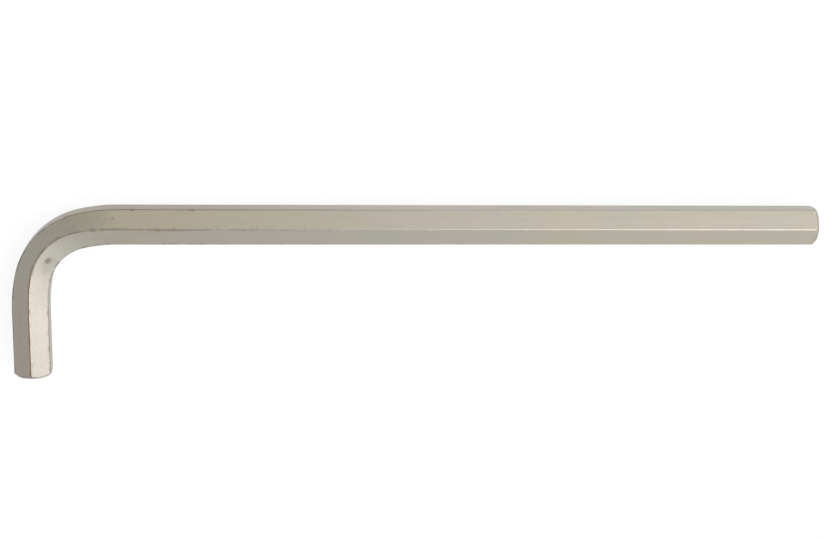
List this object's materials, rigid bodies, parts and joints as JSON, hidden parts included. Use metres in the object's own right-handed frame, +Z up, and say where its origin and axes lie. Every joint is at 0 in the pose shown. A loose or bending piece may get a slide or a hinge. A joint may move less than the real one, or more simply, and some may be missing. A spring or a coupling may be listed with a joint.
{
  "type": "hex key",
  "caption": "L-shaped hexagonal steel bar with a long arm, a short arm and chamfered ends, for turning socket-head screws.",
  "frame": {"origin": "on the surface that the key lies on, under the centre of its bounding box", "axes": "+X along the long arm towards its tip, -Y along the short arm towards its tip, +Z up from the surface the key lies on"},
  "size_m": [0.225, 0.048, 0.0114],
  "materials": {
    "plated_steel": "satin nickel plating over drawn hexagonal bar, warm grey, worn along the corner edges"
  },
  "bodies": {
    "root": {"hex_key": "plated_steel"}
  },
  "joints": []
}
